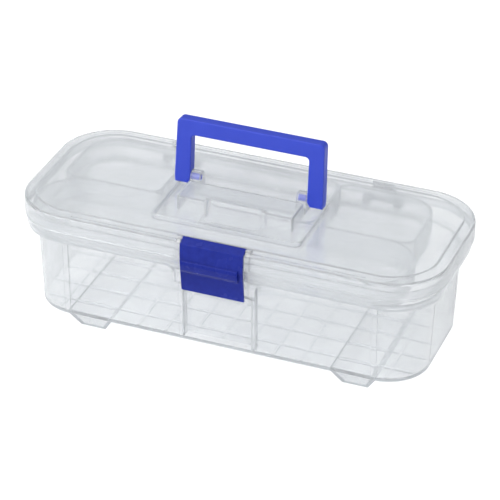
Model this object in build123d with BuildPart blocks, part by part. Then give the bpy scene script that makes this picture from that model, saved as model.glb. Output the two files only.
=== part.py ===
"""A clear toolbox with a lift-out tray, a folding carry handle and a front latch.

Millimetres. The origin is the centre of the footprint, on the surface the feet stand on.
+X runs along the box, -Y is the side with the latch, +Z is up.
"""

import math
import os

from build123d import *

# Tub: the walls lean outwards from the floor to the collar, where they step out.
FOOT_H = 15.0
BASE_X, BASE_Y, BASE_R = 355.7, 139.2, 38.0
WALL_DRAFT = 2.27
WALL_SLOPE = math.tan(math.radians(WALL_DRAFT))
WALL = 2.2
FLOOR_TOP = 17.5
COLLAR_LOW_Z, COLLAR_TOP_Z = 91.9, 103.5
COLLAR_X, COLLAR_Y, COLLAR_R = 375.6, 159.0, 43.0
COLLAR_DRAFT, COLLAR_INNER_DRAFT = 11.5, 2.6
UPSTAND_X, UPSTAND_Y, UPSTAND_R, UPSTAND_TOP = 377.6, 161.1, 47.5, 111.0
LEDGE_Z = COLLAR_LOW_Z + WALL
FLOOR_EDGE_R, FLOOR_INNER_R, COLLAR_EDGE_R = 1.0, 1.5, 0.8

# Feet: two rails pressed down out of the floor, hollow from above. They narrow downwards.
RAIL_AT_X = 121.5
RAIL_BOTTOM_W, RAIL_TOP_W, RAIL_BOTTOM_L, RAIL_TOP_L = 23.0, 43.0, 120.0, 136.0
RAIL_FLOOR_Z = 2.5

# Ribs on the front and back walls, and the bay under the latch.
RIB_W, RIB_OUT = 5.0, 1.2
OUTER_RIB_X, BAY_RIB_X = 140.5, 32.7
BAY_HALF, BAY_DEPTH, BAY_LOW_Z, BAY_TOP_Z, BAY_SHOULDER = 31.0, 7.5, 18.5, 70.5, 5.0
CHEEK_IN, CHEEK_OUT, CHEEK_LOW_Z, CHEEK_R = 30.0, 36.5, 72.5, 8.0
CHEEK_DEPTH, CHEEK_SLOPE = 9.0, 6.0
GRID_PITCH, GRID_RIB_W, GRID_RIB_H = 25.0, 2.2, 1.1
GRID_COLUMNS, GRID_ROWS = 6, 2

# Lid: a skirt over the tub's upstand, a flat shoulder and a panel two millimetres higher.
LID_X, LID_Y, LID_R = 382.8, 166.3, 50.0
LID_WALL = 2.0
LID_LOW_Z, RIM_Z, PANEL_Z = 103.8, 119.8, 121.8
RIM_ROUND, PANEL_ROUND = 2.8, 1.2
PANEL_X, PANEL_Y, PANEL_R = 364.0, 148.0, 42.0
FRONT_RIB_HALF, FRONT_RIB_Y, FRONT_RIB_DROP = 133.0, (-78.0, -76.2), 8.0

# Channel that the folded handle lies in: a lip round it, and a raised block inside it.
LIP_HALF, LIP_FRONT, LIP_BACK, LIP_W, LIP_Z, LIP_R = 68.0, -59.0, 16.0, 2.6, 126.0, 7.0
BLOCK_HALF, BLOCK_FRONT, BLOCK_BACK, BLOCK_Z, BLOCK_CORNER_R = 53.0, -35.3, -5.0, 134.5, 3.0
BLOCK_TOP_R = 2.0
SCOOP_HALF, SCOOP_FRONT, SCOOP_BACK, SCOOP_Z, SCOOP_R = 25.5, -45.5, -29.5, 119.7, 6.5

# Carry handle: a bail with two stub pins that turn in the lid's lugs.
PIVOT_Y, PIVOT_Z = 3.0, 133.9
HANDLE_LEAN = 4.6
LEG_OUT, LEG_IN, HANDLE_T = 68.0, 53.5, 10.6
BAR_IN, BAR_OUT, LEG_END = 40.2, 54.4, 5.5
HANDLE_OUTER_R, HANDLE_INNER_R, HANDLE_EDGE_R = 4.5, 3.5, 1.3
STUB_R, STUB_TIP_X, TURN_GAP = 3.0, 45.4, 0.06
LUG_IN, LUG_OUT, LUG_R = 44.5, 53.0, 6.4

# Latch: it hangs on a cross pin between two ears on the lid's shoulder.
LATCH_HALF, LATCH_T = 28.2, 2.2
LATCH_PIVOT_Y, LATCH_PIVOT_Z = -79.0, 121.7
LATCH_BARREL_R, LATCH_PIN_R, POCKET_GAP = 2.2, 1.2, 0.3
LATCH_BEND_Y, LATCH_BEND_Z, LATCH_BEND_R = -86.3, 120.6, 2.0
LATCH_MID_Y, LATCH_MID_Z, LATCH_MID_R = -87.1, 103.5, 30.0
LATCH_LOW_Y, LATCH_LOW_Z = -82.9, 73.7
EAR_IN, EAR_OUT = 29.2, 33.2

# Seen from the side, as (y, z): the finger ridge across the latch, and its snap hook.
RIDGE = ((-85.8, 106.6), (-88.6, 105.0), (-89.3, 102.0), (-88.2, 96.4), (-85.4, 92.4), (-84.4, 99.0))
RIDGE_X, RIDGE_R, RIDGE_END_R = (-27.0, 24.2), 1.2, 0.8
HOOK = ((-83.4, 81.5), (-84.0, 90.0), (-82.3, 87.5), (-81.2, 85.0))
HOOK_HALF = 18.0

# Rear hinges: a lid knuckle between two tub knuckles, on a wire pin, at each side.
HINGE_X, HINGE_Y, HINGE_Z = 95.0, 84.6, 100.0
TUB_KNUCKLE_R, LID_KNUCKLE_R, HINGE_PIN_R = 3.4, 3.0, 1.5
LID_KNUCKLE_HALF, TUB_KNUCKLE_OUT, KNUCKLE_GAP = 10.0, 18.0, 0.5
HINGE_WEB_Y, HINGE_ARM_Y, HINGE_ARM_TOP_Z = 79.0, 82.6, 116.3

# Tray: it hangs on the ledge inside the collar. Its wide part is above the ledge.
TRAY_TOP, TRAY_LOW, TRAY_WALL, TRAY_REST_GAP = 111.0, 86.0, 2.2, 0.3
TRAY_WIDE_Y, TRAY_NARROW_Y = 76.7, 68.9
TRAY_NARROW_X = (-171.4, 157.0)
FRONT_CUP = (-181.0, 161.0, 36.0)
REAR_CUPS = ((-175.5, -82.3), (-84.5, 59.9), (57.7, 149.5))
PARTITION_Y = -0.8
REAR_CORNER_R, CUP_CORNER_R = 29.0, 11.0

os.makedirs("parts", exist_ok=True)


def rounded_prism(size_x, size_y, radius, low, high, draft=0.0):
    """A rounded rectangle about the origin, from one height to another, leaning outwards."""
    with BuildPart() as prism:
        with BuildSketch(Plane.XY.offset(low)):
            RectangleRounded(size_x, size_y, radius)
        extrude(amount=high - low, taper=-draft)
    return prism.part


def box_between(low, high):
    """A plain block from its low corner to its high corner."""
    middle = [(a + b) / 2 for a, b in zip(low, high)]
    with BuildPart() as block:
        with Locations(tuple(middle)):
            Box(*[b - a for a, b in zip(low, high)])
    return block.part


def rod(radius, x_low, x_high, y, z):
    """A round bar along X."""
    with BuildPart() as bar:
        with BuildSketch(Plane.YZ.offset(x_low)):
            with Locations((y, z)):
                Circle(radius)
        extrude(amount=x_high - x_low)
    return bar.part


def side_plate(points, x_low, x_high):
    """A plate seen from the side: its outline is a list of (y, z) points."""
    with BuildPart() as plate:
        with BuildSketch(Plane.YZ.offset(x_low)):
            with BuildLine():
                Polyline(*points, close=True)
            make_face()
        extrude(amount=x_high - x_low)
    return plate.part


def wall_y(z):
    """Half the tub's outer depth below the collar, at a height."""
    return BASE_Y / 2 + (z - FOOT_H) * WALL_SLOPE


# ---- Tub ----

def rail(at_x, bottom, top, low, high):
    """A foot rail that narrows downwards: its plan at the bottom and at the top."""
    with BuildPart() as bar:
        for z, (size_x, size_y) in ((low, bottom), (high, top)):
            with BuildSketch(Plane((at_x, 0, z))):
                Rectangle(size_x, size_y)
        loft(ruled=True)
    return bar.part


def wall_rib(x, side):
    """A rib up the front (side -1) or back (side 1) wall, from the floor to the collar."""
    low, high = FLOOR_TOP, COLLAR_LOW_Z + 1
    points = [
        (side * (wall_y(low) + RIB_OUT), low),
        (side * (wall_y(high) + RIB_OUT), high),
        (side * (wall_y(high) - 1), high),
        (side * (wall_y(low) - 1), low),
    ]
    return side_plate(points, x - RIB_W / 2, x + RIB_W / 2)


def latch_cheek(side):
    """The collar sweeps down beside the latch in a rounded bracket."""
    with BuildPart() as cheek:
        with BuildSketch(Plane.XZ.offset(COLLAR_Y / 2)):
            with BuildLine():
                Polyline(
                    (side * (CHEEK_OUT + CHEEK_R), COLLAR_LOW_Z),
                    (side * (CHEEK_OUT + CHEEK_R), COLLAR_LOW_Z + 2),
                    (side * CHEEK_IN, COLLAR_LOW_Z + 2),
                    (side * CHEEK_IN, CHEEK_LOW_Z),
                    (side * CHEEK_OUT, CHEEK_LOW_Z),
                    (side * CHEEK_OUT, COLLAR_LOW_Z - CHEEK_R),
                )
                CenterArc(
                    (side * (CHEEK_OUT + CHEEK_R), COLLAR_LOW_Z - CHEEK_R),
                    CHEEK_R,
                    90,
                    90 * side,
                )
            make_face()
        extrude(amount=-CHEEK_DEPTH)
        slope = cheek.edges().filter_by(Axis.X).sort_by(Axis.Z)[:2].sort_by(Axis.Y)[0]
        chamfer(slope, length=CHEEK_SLOPE)
    return cheek.part


def bay_block(inset, low):
    """The space under the latch, in front of the recessed wall, or of its inner face."""
    points = [
        (-wall_y(BAY_LOW_Z) + BAY_DEPTH + inset, low),
        (-wall_y(BAY_TOP_Z) + BAY_DEPTH + inset, BAY_TOP_Z - BAY_SHOULDER + inset / 2),
        (-wall_y(BAY_TOP_Z) + inset, BAY_TOP_Z + inset),
        (-BASE_Y, BAY_TOP_Z + inset),
        (-BASE_Y, low),
    ]
    return side_plate(points, -BAY_HALF - inset, BAY_HALF + inset)


def floor_grid():
    """Low ribs on the inside of the floor, along and across, that leave the rails free."""
    with BuildPart() as grid:
        for i in range(-GRID_COLUMNS, GRID_COLUMNS + 1):
            x = i * GRID_PITCH
            if abs(abs(x) - RAIL_AT_X) > RAIL_TOP_W / 2:
                low = (x - GRID_RIB_W / 2, -BASE_Y, FLOOR_TOP - 1)
                add(box_between(low, (x + GRID_RIB_W / 2, BASE_Y, FLOOR_TOP + GRID_RIB_H)))
        for j in range(-GRID_ROWS, GRID_ROWS + 1):
            y = j * GRID_PITCH
            low = (-BASE_X, y - GRID_RIB_W / 2, FLOOR_TOP - 1)
            add(box_between(low, (BASE_X, y + GRID_RIB_W / 2, FLOOR_TOP + GRID_RIB_H)))
    return grid.part


RAIL_SIDES = (-RAIL_AT_X, RAIL_AT_X)
BASE_INNER = (BASE_X - 2 * WALL, BASE_Y - 2 * WALL, BASE_R - WALL)
COLLAR_INNER = (COLLAR_X - 2 * WALL, COLLAR_Y - 2 * WALL, COLLAR_R - WALL)
HINGE_BEARINGS = (
    (LID_KNUCKLE_HALF + KNUCKLE_GAP, TUB_KNUCKLE_OUT),
    (-TUB_KNUCKLE_OUT, -LID_KNUCKLE_HALF - KNUCKLE_GAP),
)

with BuildPart() as tub_hollow:
    add(rounded_prism(*BASE_INNER, FLOOR_TOP, LEDGE_Z + 1, WALL_DRAFT))
    fillet(tub_hollow.edges().group_by(Axis.Z)[0], FLOOR_INNER_R)
    add(rounded_prism(*COLLAR_INNER, LEDGE_Z, UPSTAND_TOP + 1, COLLAR_INNER_DRAFT))
    for x in RAIL_SIDES:
        bottom = (RAIL_BOTTOM_W - 2 * WALL, RAIL_BOTTOM_L - 2 * WALL)
        top = (RAIL_TOP_W - 2 * WALL, RAIL_TOP_L - 2 * WALL)
        add(rail(x, bottom, top, RAIL_FLOOR_Z, FLOOR_TOP + 0.5))
    add(bay_block(WALL, FLOOR_TOP - 1), mode=Mode.SUBTRACT)
    add(floor_grid(), mode=Mode.SUBTRACT)

with BuildPart() as tub:
    add(rounded_prism(BASE_X, BASE_Y, BASE_R, FOOT_H, COLLAR_LOW_Z + 1, WALL_DRAFT))
    fillet(tub.edges().group_by(Axis.Z)[0], FLOOR_EDGE_R)
    add(rounded_prism(COLLAR_X, COLLAR_Y, COLLAR_R, COLLAR_LOW_Z, COLLAR_TOP_Z, COLLAR_DRAFT))
    fillet(tub.edges().group_by(Axis.Z)[-1], COLLAR_EDGE_R)
    add(rounded_prism(UPSTAND_X, UPSTAND_Y, UPSTAND_R, COLLAR_TOP_Z - 1, UPSTAND_TOP))
    for x in RAIL_SIDES:
        bottom, top = (RAIL_BOTTOM_W, RAIL_BOTTOM_L), (RAIL_TOP_W, RAIL_TOP_L)
        add(rail(x, bottom, top, 0, FOOT_H + 1))
    for x in (-OUTER_RIB_X, OUTER_RIB_X):
        add(wall_rib(x, -1))
        add(wall_rib(x, 1))
    for x in (-BAY_RIB_X, BAY_RIB_X):
        add(wall_rib(x, -1))
    for side in (-1, 1):
        add(latch_cheek(side))
    add(bay_block(0, BAY_LOW_Z), mode=Mode.SUBTRACT)
    add(tub_hollow.part, mode=Mode.SUBTRACT)
    for x in (-HINGE_X, HINGE_X):
        for inner, outer in HINGE_BEARINGS:
            add(rod(TUB_KNUCKLE_R, x + inner, x + outer, HINGE_Y, HINGE_Z))
            web = [
                (HINGE_WEB_Y, HINGE_Z - 6),
                (HINGE_Y, HINGE_Z - TUB_KNUCKLE_R),
                (HINGE_Y, HINGE_Z + 2),
                (HINGE_WEB_Y, HINGE_Z + 2),
            ]
            add(side_plate(web, x + inner, x + outer))
        bore = rod(HINGE_PIN_R, x - TUB_KNUCKLE_OUT, x + TUB_KNUCKLE_OUT, HINGE_Y, HINGE_Z)
        add(bore, mode=Mode.SUBTRACT)
tub.part.label = "tub"
export_step(tub.part, "parts/tub.step")

# ---- Lid ----

with BuildPart() as panel:
    add(rounded_prism(PANEL_X, PANEL_Y, PANEL_R, RIM_Z - 1, PANEL_Z))
    fillet(panel.edges().group_by(Axis.Z)[-1], PANEL_ROUND)

with BuildPart() as block:
    with BuildSketch(Plane.XY.offset(PANEL_Z - 1)):
        with Locations((0, (BLOCK_FRONT + BLOCK_BACK) / 2)):
            Rectangle(2 * BLOCK_HALF, BLOCK_BACK - BLOCK_FRONT)
    extrude(amount=BLOCK_Z - PANEL_Z + 1)
    fillet(block.edges().filter_by(Axis.Z), BLOCK_CORNER_R)
    fillet(block.edges().group_by(Axis.Z)[-1], BLOCK_TOP_R)

# The lip is drawn past its back end, so that its two arms end square there.
LIP_PAST = 20.0
with BuildPart() as lip:
    with BuildSketch(Plane.XY.offset(PANEL_Z - 1)):
        with Locations((0, (LIP_FRONT + LIP_BACK + LIP_PAST) / 2)):
            lip_length = LIP_BACK - LIP_FRONT + LIP_PAST
            RectangleRounded(2 * LIP_HALF, lip_length, LIP_R)
            inner_size = (2 * (LIP_HALF - LIP_W), lip_length - 2 * LIP_W)
            RectangleRounded(*inner_size, LIP_R - LIP_W, mode=Mode.SUBTRACT)
    extrude(amount=LIP_Z - PANEL_Z + 1)
    behind = box_between(
        (-2 * LIP_HALF, LIP_BACK, PANEL_Z - 2), (2 * LIP_HALF, LIP_BACK + 2 * LIP_PAST, LIP_Z + 1)
    )
    add(behind, mode=Mode.SUBTRACT)
    fillet(lip.edges().group_by(Axis.Z)[-1].sort_by(Axis.Y)[:4], 0.8)

with BuildPart() as lid_hollow:
    inner_x, inner_y = LID_X - 2 * LID_WALL, LID_Y - 2 * LID_WALL
    add(rounded_prism(inner_x, inner_y, LID_R - LID_WALL, LID_LOW_Z - 1, RIM_Z - LID_WALL))
    under = (PANEL_X - 2 * LID_WALL, PANEL_Y - 2 * LID_WALL, PANEL_R - LID_WALL)
    add(rounded_prism(*under, RIM_Z - LID_WALL - 1, PANEL_Z - LID_WALL))
    under_block = box_between(
        (-BLOCK_HALF + LID_WALL, BLOCK_FRONT + LID_WALL, RIM_Z - LID_WALL - 1),
        (BLOCK_HALF - LID_WALL, BLOCK_BACK - LID_WALL, BLOCK_Z - LID_WALL),
    )
    add(under_block)
    scoop_wall = box_between(
        (-SCOOP_HALF - LID_WALL, SCOOP_FRONT - LID_WALL, SCOOP_Z - LID_WALL),
        (SCOOP_HALF + LID_WALL, SCOOP_BACK + LID_WALL, BLOCK_Z),
    )
    add(scoop_wall, mode=Mode.SUBTRACT)
    front_rib = box_between(
        (-FRONT_RIB_HALF, FRONT_RIB_Y[0], RIM_Z - FRONT_RIB_DROP),
        (FRONT_RIB_HALF, FRONT_RIB_Y[1], PANEL_Z),
    )
    add(front_rib, mode=Mode.SUBTRACT)

with BuildPart() as scoop:
    with BuildSketch(Plane.XY.offset(SCOOP_Z)):
        with Locations((0, (SCOOP_FRONT + SCOOP_BACK) / 2)):
            RectangleRounded(2 * SCOOP_HALF, SCOOP_BACK - SCOOP_FRONT, SCOOP_R)
    extrude(amount=BLOCK_Z - SCOOP_Z + 1)


def lug(side):
    """A lug beside the block that holds one of the handle's stub pins."""
    low_x, high_x = sorted((side * LUG_IN, side * LUG_OUT))
    with BuildPart() as bearing:
        foot = [
            (PIVOT_Y - LUG_R - 1, PANEL_Z - 1),
            (PIVOT_Y - LUG_R, PIVOT_Z),
            (PIVOT_Y + LUG_R, PIVOT_Z),
            (PIVOT_Y + LUG_R + 2, PANEL_Z - 1),
        ]
        add(side_plate(foot, low_x, high_x))
        add(rod(LUG_R, low_x, high_x, PIVOT_Y, PIVOT_Z))
    return bearing.part


def latch_ear(side):
    """An ear at one end of the latch's pin, with a guard down the front of the skirt."""
    front_y, skirt_y = -LID_Y / 2 - 2.25, -LID_Y / 2 + 1.15
    ear = [
        (LATCH_PIVOT_Y + 3.2, RIM_Z - 0.5),
        (LATCH_PIVOT_Y + 3.2, LATCH_PIVOT_Z),
        (LATCH_PIVOT_Y + 1.8, LATCH_PIVOT_Z + 1.9),
        (LATCH_PIVOT_Y - 1.6, LATCH_PIVOT_Z + 1.9),
        (front_y, RIM_Z - 1),
        (front_y, LID_LOW_Z + 3),
        (skirt_y - 1, LID_LOW_Z),
        (skirt_y, LID_LOW_Z),
        (skirt_y, RIM_Z - 1),
    ]
    return side_plate(ear, *sorted((side * EAR_IN, side * EAR_OUT)))


with BuildPart() as lid:
    add(rounded_prism(LID_X, LID_Y, LID_R, LID_LOW_Z, RIM_Z))
    fillet(lid.edges().group_by(Axis.Z)[-1], RIM_ROUND)
    add(panel.part)
    add(block.part)
    add(lip.part)
    for side in (-1, 1):
        add(lug(side))
        add(latch_ear(side))
    add(lid_hollow.part, mode=Mode.SUBTRACT)
    add(scoop.part, mode=Mode.SUBTRACT)
    for side in (-1, 1):
        low_x, high_x = sorted((side * (LUG_IN - 1), side * (LUG_OUT + 1)))
        bore = rod(STUB_R + TURN_GAP, low_x, high_x, PIVOT_Y, PIVOT_Z)
        add(bore, mode=Mode.SUBTRACT)
    pocket = box_between(
        (-EAR_IN, LATCH_PIVOT_Y - 4, LATCH_PIVOT_Z - LATCH_BARREL_R - POCKET_GAP),
        (EAR_IN, LATCH_PIVOT_Y + 3.2, LATCH_PIVOT_Z + 3),
    )
    add(pocket, mode=Mode.SUBTRACT)
    ear_bore = rod(LATCH_PIN_R, -EAR_OUT, EAR_OUT, LATCH_PIVOT_Y, LATCH_PIVOT_Z)
    add(ear_bore, mode=Mode.SUBTRACT)
    for x in (-HINGE_X, HINGE_X):
        low_x, high_x = x - LID_KNUCKLE_HALF, x + LID_KNUCKLE_HALF
        add(rod(LID_KNUCKLE_R, low_x, high_x, HINGE_Y, HINGE_Z))
        arm = [
            (HINGE_ARM_Y, HINGE_Z),
            (HINGE_Y + LID_KNUCKLE_R, HINGE_Z),
            (HINGE_Y + LID_KNUCKLE_R, LID_LOW_Z + 4),
            (HINGE_ARM_Y + 0.4, HINGE_ARM_TOP_Z),
            (HINGE_ARM_Y, HINGE_ARM_TOP_Z),
        ]
        add(side_plate(arm, low_x, high_x))
        bore = rod(HINGE_PIN_R + TURN_GAP, low_x, high_x, HINGE_Y, HINGE_Z)
        add(bore, mode=Mode.SUBTRACT)
lid.part.label = "lid"
export_step(lid.part, "parts/lid.step")

# ---- Handle ----

# The bail is drawn upright on its own plane, which leans back about the pivot.
handle_plane = Plane(
    origin=(0, PIVOT_Y, PIVOT_Z),
    x_dir=(1, 0, 0),
    z_dir=Vector(0, -1, 0).rotate(Axis.X, -HANDLE_LEAN),
)
with BuildPart() as handle:
    with BuildSketch(handle_plane.offset(-HANDLE_T / 2)):
        with BuildLine():
            Polyline(
                (-LEG_OUT + 0.4, -LEG_END),
                (-LEG_OUT, 0),
                (-LEG_OUT + 1.2, BAR_OUT),
                (LEG_OUT - 1.2, BAR_OUT),
                (LEG_OUT, 0),
                (LEG_OUT - 0.4, -LEG_END),
                (LEG_IN + 2.5, -LEG_END),
                (LEG_IN, -LEG_END + 4),
                (LEG_IN, BAR_IN),
                (-LEG_IN, BAR_IN),
                (-LEG_IN, -LEG_END + 4),
                (-LEG_IN - 2.5, -LEG_END),
                close=True,
            )
        make_face()
    extrude(amount=HANDLE_T)
    across = handle.edges().filter_by(Axis(handle_plane.origin, handle_plane.z_dir))
    fillet(across.sort_by(Axis.Z)[-2:], HANDLE_OUTER_R)
    inner = [edge for edge in across if abs(abs(edge.center().X) - LEG_IN) < 0.1]
    fillet(ShapeList(inner).sort_by(Axis.Z)[-2:], HANDLE_INNER_R)
    by_depth = handle.faces().sort_by(Axis.Y)
    fillet(by_depth[0].edges() + by_depth[-1].edges(), HANDLE_EDGE_R)
    for side in (-1, 1):
        low_x, high_x = sorted((side * STUB_TIP_X, side * (LEG_IN + 1)))
        add(rod(STUB_R, low_x, high_x, PIVOT_Y, PIVOT_Z))
handle.part.label = "handle"
export_step(handle.part, "parts/handle.step")

# ---- Latch ----

with BuildPart() as ridge:
    add(side_plate(RIDGE, *RIDGE_X))
    fillet(ridge.edges().filter_by(Axis.X).sort_by(Axis.Y)[:3], RIDGE_R)

with BuildPart() as latch:
    with BuildSketch(Plane.YZ.offset(-LATCH_HALF)):
        with BuildLine():
            Polyline(
                (LATCH_PIVOT_Y, LATCH_PIVOT_Z + LATCH_BARREL_R),
                (LATCH_BEND_Y, LATCH_BEND_Z),
                (LATCH_MID_Y, LATCH_MID_Z),
                (LATCH_LOW_Y, LATCH_LOW_Z),
                (LATCH_LOW_Y + LATCH_T, LATCH_LOW_Z),
                (LATCH_MID_Y + LATCH_T, LATCH_MID_Z),
                (LATCH_BEND_Y + LATCH_T, LATCH_BEND_Z - LATCH_T),
                (LATCH_BEND_Y + LATCH_T + 1.5, RIM_Z + 0.1),
                (LATCH_PIVOT_Y, RIM_Z - 0.3),
                close=True,
            )
        make_face()
    extrude(amount=2 * LATCH_HALF)
    bends = (
        (LATCH_BEND_Y, LATCH_BEND_Z, LATCH_BEND_R),
        (LATCH_MID_Y, LATCH_MID_Z, LATCH_MID_R),
    )
    for y, z, radius in bends:
        bend = latch.edges().filter_by(Axis.X).sort_by_distance((0, y, z))[0]
        fillet(bend, radius)
    add(rod(LATCH_BARREL_R, -LATCH_HALF, LATCH_HALF, LATCH_PIVOT_Y, LATCH_PIVOT_Z))
    add(side_plate(HOOK, -HOOK_HALF, HOOK_HALF))
    add(ridge.part)
    pin_bore = rod(
        LATCH_PIN_R + TURN_GAP, -LATCH_HALF, LATCH_HALF, LATCH_PIVOT_Y, LATCH_PIVOT_Z
    )
    add(pin_bore, mode=Mode.SUBTRACT)
latch.part.label = "latch"
export_step(latch.part, "parts/latch.step")

# ---- Tray ----


def cup(x_low, x_high, y_low, y_high, low, high, inset, corners):
    """A rounded block of one compartment: corners holds its radii by (x side, y side)."""
    size_x, size_y = x_high - x_low - 2 * inset, y_high - y_low - 2 * inset
    with BuildPart() as block:
        with BuildSketch(Plane.XY.offset(low)) as outline:
            with Locations(((x_low + x_high) / 2, (y_low + y_high) / 2)):
                Rectangle(size_x, size_y)
            for corner in list(outline.vertices()):
                key = (corner.X > (x_low + x_high) / 2, corner.Y > (y_low + y_high) / 2)
                radius = min(max(corners[key] - inset, 1.0), size_y / 2 - 0.5)
                near = outline.vertices().sort_by_distance(corner.center())[0]
                fillet(near, radius)
        extrude(amount=high - low)
    return block.part


def tray_cups():
    """Each compartment's plan: its box and its four corner radii."""
    small, large = CUP_CORNER_R, REAR_CORNER_R
    x_low, x_high, radius = FRONT_CUP
    every = {(a, b): radius for a in (False, True) for b in (False, True)}
    yield (x_low, x_high, -TRAY_WIDE_Y, PARTITION_Y + TRAY_WALL / 2), every
    for i, (x_low, x_high) in enumerate(REAR_CUPS):
        corners = {
            (False, False): small,
            (True, False): small,
            (False, True): large if i == 0 else small,
            (True, True): large if i == len(REAR_CUPS) - 1 else small,
        }
        yield (x_low, x_high, PARTITION_Y - TRAY_WALL / 2, TRAY_WIDE_Y), corners


with BuildPart() as tray:
    step_z = LEDGE_Z + TRAY_REST_GAP
    levels = []
    for (x_low, x_high, y_low, y_high), corners in tray_cups():
        narrow = (
            max(x_low, TRAY_NARROW_X[0]),
            min(x_high, TRAY_NARROW_X[1]),
            max(y_low, -TRAY_NARROW_Y),
            min(y_high, TRAY_NARROW_Y),
        )
        levels.append(((x_low, x_high, y_low, y_high), narrow, corners))
    for wide, narrow, corners in levels:
        add(cup(*wide, step_z, TRAY_TOP, 0, corners))
        add(cup(*narrow, TRAY_LOW, step_z + 1, 0, corners))
    for wide, narrow, corners in levels:
        wide_hole = cup(*wide, step_z + TRAY_WALL, TRAY_TOP + 1, TRAY_WALL, corners)
        add(wide_hole, mode=Mode.SUBTRACT)
        narrow_hole = cup(*narrow, TRAY_LOW + TRAY_WALL, TRAY_TOP, TRAY_WALL, corners)
        add(narrow_hole, mode=Mode.SUBTRACT)
tray.part.label = "tray"
export_step(tray.part, "parts/tray.step")

# ---- Pins ----

for name, x in (("hinge_pin_left", -HINGE_X), ("hinge_pin_right", HINGE_X)):
    with BuildPart() as hinge_pin:
        add(rod(HINGE_PIN_R, x - TUB_KNUCKLE_OUT, x + TUB_KNUCKLE_OUT, HINGE_Y, HINGE_Z))
        chamfer(hinge_pin.edges().filter_by(GeomType.CIRCLE), length=0.3)
    hinge_pin.part.label = name
    export_step(hinge_pin.part, f"parts/{name}.step")

with BuildPart() as latch_pin:
    add(rod(LATCH_PIN_R, -EAR_OUT, EAR_OUT, LATCH_PIVOT_Y, LATCH_PIVOT_Z))
    chamfer(latch_pin.edges().filter_by(GeomType.CIRCLE), length=0.25)
latch_pin.part.label = "latch_pin"
export_step(latch_pin.part, "parts/latch_pin.step")
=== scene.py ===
"""Looks for the clear toolbox: hazy polypropylene, two blues, a white studio and the camera.

Metres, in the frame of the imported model: +X along the box, -Y towards the latch, +Z up.
"""
import math

import bpy
from mathutils import Matrix, Vector


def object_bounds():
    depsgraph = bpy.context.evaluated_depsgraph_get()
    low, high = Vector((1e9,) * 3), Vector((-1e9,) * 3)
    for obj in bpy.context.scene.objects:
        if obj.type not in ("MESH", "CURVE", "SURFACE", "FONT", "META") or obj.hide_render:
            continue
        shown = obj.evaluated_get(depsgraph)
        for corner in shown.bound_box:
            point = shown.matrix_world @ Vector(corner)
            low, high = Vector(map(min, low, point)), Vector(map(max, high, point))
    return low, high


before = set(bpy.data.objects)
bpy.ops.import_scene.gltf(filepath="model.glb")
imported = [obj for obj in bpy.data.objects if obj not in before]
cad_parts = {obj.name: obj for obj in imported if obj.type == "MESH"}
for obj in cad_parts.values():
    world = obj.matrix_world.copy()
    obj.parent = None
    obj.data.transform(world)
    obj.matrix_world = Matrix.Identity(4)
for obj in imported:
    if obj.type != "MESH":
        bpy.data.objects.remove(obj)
cad_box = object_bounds()

SCENE = bpy.context.scene

# Camera: it looks down on the latch side from the right. Angles in degrees, lens in millimetres.
CAMERA_AZIMUTH, CAMERA_ELEVATION, CAMERA_ROLL = 20.785, 31.001, 0.716
CAMERA_DISTANCE, CAMERA_LENS, SENSOR_WIDTH = 2.2013, 183.88, 36.0
CAMERA_TARGET = Vector((0.0069, -0.0132, 0.0816))
CAMERA_REACH = 20.0

# Colours, linear. HAZE_AND_EDGE_SHADE is the grey veil over the clear parts. It is real haze face
# on and painted shade edge on, where it darkens their outlines.
CLEAR_TUB = (0.955, 0.960, 0.965)
CLEAR_LID = (0.960, 0.965, 0.970)
CLEAR_TRAY = (0.960, 0.963, 0.966)
THROUGH_LIGHT = (0.970, 0.972, 0.975)
HAZE_AND_EDGE_SHADE = (0.44, 0.465, 0.48)
HANDLE_BLUE, HANDLE_WORN = (0.022, 0.046, 0.42), (0.045, 0.075, 0.52)
LATCH_BLUE, LATCH_WORN = (0.0015, 0.007, 0.140), (0.010, 0.022, 0.24)
STEEL = (0.60, 0.60, 0.62)
FLOOR_PAPER = (0.93, 0.93, 0.93)
HORIZON, ZENITH = (0.13, 0.15, 0.18), (0.74, 0.745, 0.75)

# Clear plastic: how it bends light, how much passes, and the roughness that rubbing adds.
PLASTIC_IOR, CLEARNESS, RUBBED_ROUGHNESS = 1.42, 0.96, 0.12

# Haze and painted edge shade: its thickness edge on, how soon it thickens there, and how uneven it
# is.
EDGE_HAZE_AND_SHADE, FACING_BLEND, HAZE_PATCHES = 0.50, 0.30, (0.80, 1.20)

# Noise: features per metre, and the range that its values mostly stay in.
CLOUD, WAVES, GRAIN, FLOW, SKIN_GRAIN, SCUFFS = 30, 70, 2200, 55, 1800, 260
NOISE_RANGE = (0.3, 0.7)

# How strongly the scuffs break up the wear, and how far flow marks pale or deepen the blue.
SCUFF_RANGE, FLOW_MARKS = (0.2, 1.0), (-0.05, 0.14)

# Pointiness of a flat face; sharper edges lie above it.
FLAT = 0.50

# Wire: scratches per metre along it and across it, and how dark they are.
SCRATCHES, SCRATCH_DARK = (20.0, 2600.0, 2600.0), 0.8

# Floor: half its width, and how far it lies under the feet.
FLOOR_HALF, FLOOR_GAP = 12.0, 0.0002

# Sky: how high the horizon's colour ends and the zenith's begins, from 0 to 1.
HORIZON_END, ZENITH_START = 0.10, 0.60

# Point that the soft boxes are aimed at.
LAMP_AIM = Vector((0, 0, 0.08))


# ---- Node helpers ----

def new_material(name):
    """A material with only its output left, and its node tree."""
    material = bpy.data.materials.new(name)
    material.use_nodes = True
    tree = material.node_tree
    for node in list(tree.nodes):
        if node.type != "OUTPUT_MATERIAL":
            tree.nodes.remove(node)
    return material, tree


def add_node(tree, kind, **inputs):
    """A node with its sockets set by name, underscores standing for spaces."""
    node = tree.nodes.new(kind)
    for name, value in inputs.items():
        node.inputs[name.replace("_", " ")].default_value = value
    return node


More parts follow.
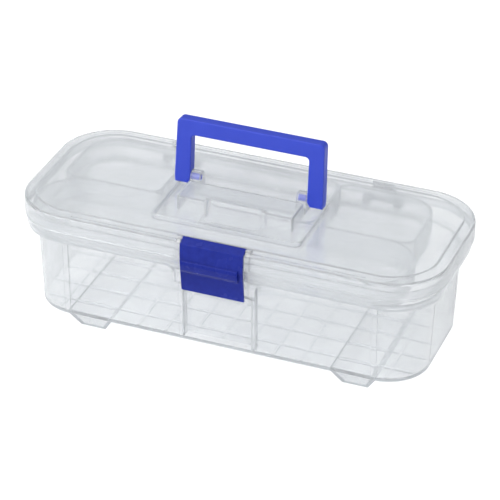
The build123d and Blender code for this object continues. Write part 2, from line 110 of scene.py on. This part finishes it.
def noise(tree, place, scale, detail=3.0):
    """Noise in object space: scale is in features per metre."""
    node = add_node(tree, "ShaderNodeTexNoise", Scale=scale, Detail=detail, Roughness=0.5)
    tree.links.new(place.outputs["Object"], node.inputs["Vector"])
    return node.outputs["Fac"]


def relief(tree, height_map, strength, height, under=None):
    """A bump of a height in metres, which may lie on another bump."""
    node = add_node(tree, "ShaderNodeBump", Strength=strength, Distance=height)
    tree.links.new(height_map, node.inputs["Height"])
    if under is not None:
        tree.links.new(under, node.inputs["Normal"])
    return node.outputs["Normal"]


def spread(tree, value, low, high, from_low=0.0, from_high=1.0):
    """Maps a value to a range."""
    node = add_node(
        tree, "ShaderNodeMapRange", From_Min=from_low, From_Max=from_high, To_Min=low, To_Max=high
    )
    tree.links.new(value, node.inputs["Value"])
    return node.outputs["Result"]


def combine(tree, operation, first, second):
    """A math node on two sockets, or a socket and a number."""
    node = tree.nodes.new("ShaderNodeMath")
    node.operation = operation
    for socket, value in zip(node.inputs, (first, second)):
        if isinstance(value, (int, float)):
            socket.default_value = value
        else:
            tree.links.new(value, socket)
    return node.outputs["Value"]


def blend_colours(tree, factor, first, second):
    """A mix of two colours by a socket."""
    node = tree.nodes.new("ShaderNodeMix")
    node.data_type = "RGBA"
    node.inputs["A"].default_value = (*first, 1)
    node.inputs["B"].default_value = (*second, 1)
    tree.links.new(factor, node.inputs["Factor"])
    return node.outputs["Result"]


def blend_shaders(tree, factor, first, second):
    """A mix of two shaders by a socket."""
    node = tree.nodes.new("ShaderNodeMixShader")
    tree.links.new(factor, node.inputs["Fac"])
    tree.links.new(first, node.inputs[1])
    tree.links.new(second, node.inputs[2])
    return node.outputs["Shader"]


def edge_wear(tree, place, sharpness):
    """How rubbed a place is, 0 to 1: along the convex edges, broken up by noise."""
    geometry = tree.nodes.new("ShaderNodeNewGeometry")
    edge = spread(tree, geometry.outputs["Pointiness"], 0.0, 1.0, FLAT, FLAT + 1 / sharpness)
    scuffs = spread(tree, noise(tree, place, SCUFFS), *SCUFF_RANGE)
    return combine(tree, "MULTIPLY", edge, scuffs)


# ---- Materials ----

def clear_plastic(name, colour, roughness, milk):
    """Clear polypropylene: it bends and softens what is behind it, under a thin grey haze that
    thickens into painted shade along its outlines.
    """
    material, tree = new_material(name)
    place = tree.nodes.new("ShaderNodeTexCoord")
    cloud = noise(tree, place, CLOUD, detail=4.0)
    worn = edge_wear(tree, place, sharpness=14.0)

    body = add_node(tree, "ShaderNodeBsdfPrincipled", IOR=PLASTIC_IOR)
    body.inputs["Transmission Weight"].default_value = CLEARNESS
    half_white = tuple(0.5 * c + 0.5 for c in colour)
    tree.links.new(blend_colours(tree, worn, colour, half_white), body.inputs["Base Color"])
    frosting = spread(tree, cloud, *roughness, *NOISE_RANGE)
    rubbing = combine(tree, "MULTIPLY", worn, RUBBED_ROUGHNESS)
    tree.links.new(combine(tree, "ADD", frosting, rubbing), body.inputs["Roughness"])
    waves = relief(tree, noise(tree, place, WAVES, detail=2.0), strength=0.06, height=0.0003)
    grain = relief(
        tree, noise(tree, place, GRAIN, detail=1.0), strength=0.05, height=0.0001, under=waves
    )
    tree.links.new(grain, body.inputs["Normal"])

    # The haze lies thinly over the plastic. Where it is seen edge on, it thickens into painted
    # shade that darkens the outlines.
    haze_and_edge_shade = add_node(tree, "ShaderNodeBsdfDiffuse", Roughness=0.5, Color=(*HAZE_AND_EDGE_SHADE, 1))
    edge_on = add_node(tree, "ShaderNodeLayerWeight", Blend=FACING_BLEND)
    depth = spread(tree, edge_on.outputs["Facing"], milk, EDGE_HAZE_AND_SHADE)
    uneven = spread(tree, cloud, *HAZE_PATCHES, *NOISE_RANGE)
    haze_and_shade_thickness = combine(tree, "MULTIPLY", depth, uneven)
    veiled = blend_shaders(tree, haze_and_shade_thickness, body.outputs["BSDF"], haze_and_edge_shade.outputs["BSDF"])

    # Lamps and bounced light reach the inside of the box through its walls.
    ray = tree.nodes.new("ShaderNodeLightPath")
    lets_by = combine(tree, "MAXIMUM", ray.outputs["Is Shadow Ray"], ray.outputs["Is Diffuse Ray"])
    clear = add_node(tree, "ShaderNodeBsdfTransparent", Color=(*THROUGH_LIGHT, 1))
    layers = blend_shaders(tree, lets_by, veiled, clear.outputs["BSDF"])
    tree.links.new(layers, tree.nodes["Material Output"].inputs["Surface"])
    return material


def blue_plastic(name, colour, worn_colour, roughness, gloss):
    """Coloured polypropylene: a satin moulded skin with rubbed edges and fine flow marks."""
    material, tree = new_material(name)
    place = tree.nodes.new("ShaderNodeTexCoord")
    worn = edge_wear(tree, place, sharpness=9.0)
    flow = noise(tree, place, FLOW, detail=5.0)
    mottled = combine(tree, "ADD", worn, spread(tree, flow, *FLOW_MARKS, *NOISE_RANGE))
    skin = add_node(
        tree,
        "ShaderNodeBsdfPrincipled",
        Subsurface_Weight=0.12,
        Subsurface_Radius=(0.4, 0.5, 1.0),
        Subsurface_Scale=0.0012,
        Specular_IOR_Level=gloss,
    )
    tree.links.new(blend_colours(tree, mottled, colour, worn_colour), skin.inputs["Base Color"])
    tree.links.new(spread(tree, flow, *roughness, *NOISE_RANGE), skin.inputs["Roughness"])
    grain = relief(tree, noise(tree, place, SKIN_GRAIN, detail=2.0), strength=0.22, height=0.0002)
    tree.links.new(grain, skin.inputs["Normal"])
    tree.links.new(skin.outputs["BSDF"], tree.nodes["Material Output"].inputs["Surface"])
    return material


def drawn_wire(name, colour, roughness):
    """Steel wire with fine scratches along its length."""
    material, tree = new_material(name)
    place = tree.nodes.new("ShaderNodeTexCoord")
    stretch = add_node(tree, "ShaderNodeMapping", Scale=SCRATCHES)
    tree.links.new(place.outputs["Object"], stretch.inputs["Vector"])
    scratch = add_node(tree, "ShaderNodeTexNoise", Scale=1.0, Detail=2.0)
    tree.links.new(stretch.outputs["Vector"], scratch.inputs["Vector"])
    marks = scratch.outputs["Fac"]
    skin = add_node(tree, "ShaderNodeBsdfPrincipled", Metallic=1.0)
    dull = tuple(SCRATCH_DARK * c for c in colour)
    tree.links.new(blend_colours(tree, marks, colour, dull), skin.inputs["Base Color"])
    tree.links.new(spread(tree, marks, *roughness), skin.inputs["Roughness"])
    tree.links.new(skin.outputs["BSDF"], tree.nodes["Material Output"].inputs["Surface"])
    return material


def finish_node(node, material):
    """Gives a CAD node its material."""
    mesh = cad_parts[node].data
    mesh.materials.clear()
    mesh.materials.append(material)


# ---- Studio ----

def floor():
    """A wide pale floor under the feet."""
    ground = cad_box[0][2] - FLOOR_GAP
    signs = [(-1, -1), (1, -1), (1, 1), (-1, 1)]
    mesh = bpy.data.meshes.new("floor")
    corners = [(x * FLOOR_HALF, y * FLOOR_HALF, ground) for x, y in signs]
    mesh.from_pydata(corners, [], [(0, 1, 2, 3)])
    plane = bpy.data.objects.new("floor", mesh)
    SCENE.collection.objects.link(plane)
    material, tree = new_material("studio_floor")
    paper = add_node(
        tree,
        "ShaderNodeBsdfPrincipled",
        Roughness=0.9,
        Base_Color=(*FLOOR_PAPER, 1),
        Specular_IOR_Level=0.0,
    )
    tree.links.new(paper.outputs["BSDF"], tree.nodes["Material Output"].inputs["Surface"])
    mesh.materials.append(material)


def soft_box(name, place, size, power):
    """A square soft box that points at the box: its size in metres and its power in watts."""
    lamp = bpy.data.lights.new(name, "AREA")
    lamp.shape, lamp.size, lamp.energy = "SQUARE", size, power
    holder = bpy.data.objects.new(name, lamp)
    holder.location = place
    direction = LAMP_AIM - Vector(place)
    holder.rotation_euler = direction.to_track_quat("-Z", "Y").to_euler()
    SCENE.collection.objects.link(holder)


def even_light(name, towards, softness, strength):
    """A light from far off, the same over the whole floor, with its softness in degrees."""
    lamp = bpy.data.lights.new(name, "SUN")
    lamp.angle, lamp.energy = math.radians(softness), strength
    holder = bpy.data.objects.new(name, lamp)
    holder.rotation_euler = (-Vector(towards)).to_track_quat("-Z", "Y").to_euler()
    SCENE.collection.objects.link(holder)


def surround():
    """Pale from above and dark blue-grey round the horizon, which draws the plastic's edges."""
    world = bpy.data.worlds.new("studio")
    world.use_nodes = True
    tree = world.node_tree
    place = tree.nodes.new("ShaderNodeTexCoord")
    split = tree.nodes.new("ShaderNodeSeparateXYZ")
    tree.links.new(place.outputs["Generated"], split.inputs["Vector"])
    rise = spread(tree, split.outputs["Z"], 0.0, 1.0, HORIZON_END, ZENITH_START)
    sky = blend_colours(tree, rise, HORIZON, ZENITH)
    tree.links.new(sky, tree.nodes["Background"].inputs["Color"])
    SCENE.world = world


def studio():
    """An even light from above, and a soft box on each side of the front."""
    surround()
    even_light("overhead", towards=(-0.3, -0.3, 1.0), softness=80.0, strength=1.35)
    soft_box("left_front", place=(-1.2, -1.6, 1.1), size=0.9, power=23.0)
    soft_box("right_front", place=(1.5, -1.5, 1.0), size=0.7, power=10.0)


def camera():
    """The camera, turned by azimuth, elevation and a slight roll."""
    azimuth, elevation = math.radians(CAMERA_AZIMUTH), math.radians(CAMERA_ELEVATION)
    roll = math.radians(CAMERA_ROLL)
    back = Vector(
        (
            math.sin(azimuth) * math.cos(elevation),
            -math.cos(azimuth) * math.cos(elevation),
            math.sin(elevation),
        )
    )
    right = Vector((math.cos(azimuth), math.sin(azimuth), 0))
    up = back.cross(right)
    right, up = (
        right * math.cos(roll) + up * math.sin(roll),
        up * math.cos(roll) - right * math.sin(roll),
    )
    data = bpy.data.cameras.new("camera")
    data.lens, data.sensor_width = CAMERA_LENS, SENSOR_WIDTH
    data.clip_end = CAMERA_REACH
    holder = bpy.data.objects.new("camera", data)
    turn = Matrix((right, up, back)).transposed()
    place = CAMERA_TARGET + back * CAMERA_DISTANCE
    holder.matrix_world = Matrix.Translation(place) @ turn.to_4x4()
    SCENE.collection.objects.link(holder)
    SCENE.camera = holder


# ---- The toolbox ----

finish_node("tub", clear_plastic("clear_tub", CLEAR_TUB, roughness=(0.05, 0.10), milk=0.075))
finish_node("lid", clear_plastic("clear_lid", CLEAR_LID, roughness=(0.09, 0.15), milk=0.055))
finish_node("tray", clear_plastic("clear_tray", CLEAR_TRAY, roughness=(0.06, 0.11), milk=0.045))
handle_skin = blue_plastic(
    "blue_handle", HANDLE_BLUE, HANDLE_WORN, roughness=(0.34, 0.46), gloss=0.30
)
finish_node("handle", handle_skin)
latch_skin = blue_plastic("blue_latch", LATCH_BLUE, LATCH_WORN, roughness=(0.20, 0.30), gloss=0.15)
finish_node("latch", latch_skin)
wire = drawn_wire("pin_steel", STEEL, roughness=(0.22, 0.42))
for pin in ("hinge_pin_left", "hinge_pin_right", "latch_pin"):
    finish_node(pin, wire)

floor()
studio()
camera()
SCENE.view_settings.view_transform = "Standard"

# A ray crosses many clear walls on its way through the box.
SCENE.cycles.transparent_max_bounces = 40
SCENE.cycles.max_bounces = 28
SCENE.cycles.transmission_bounces = 28
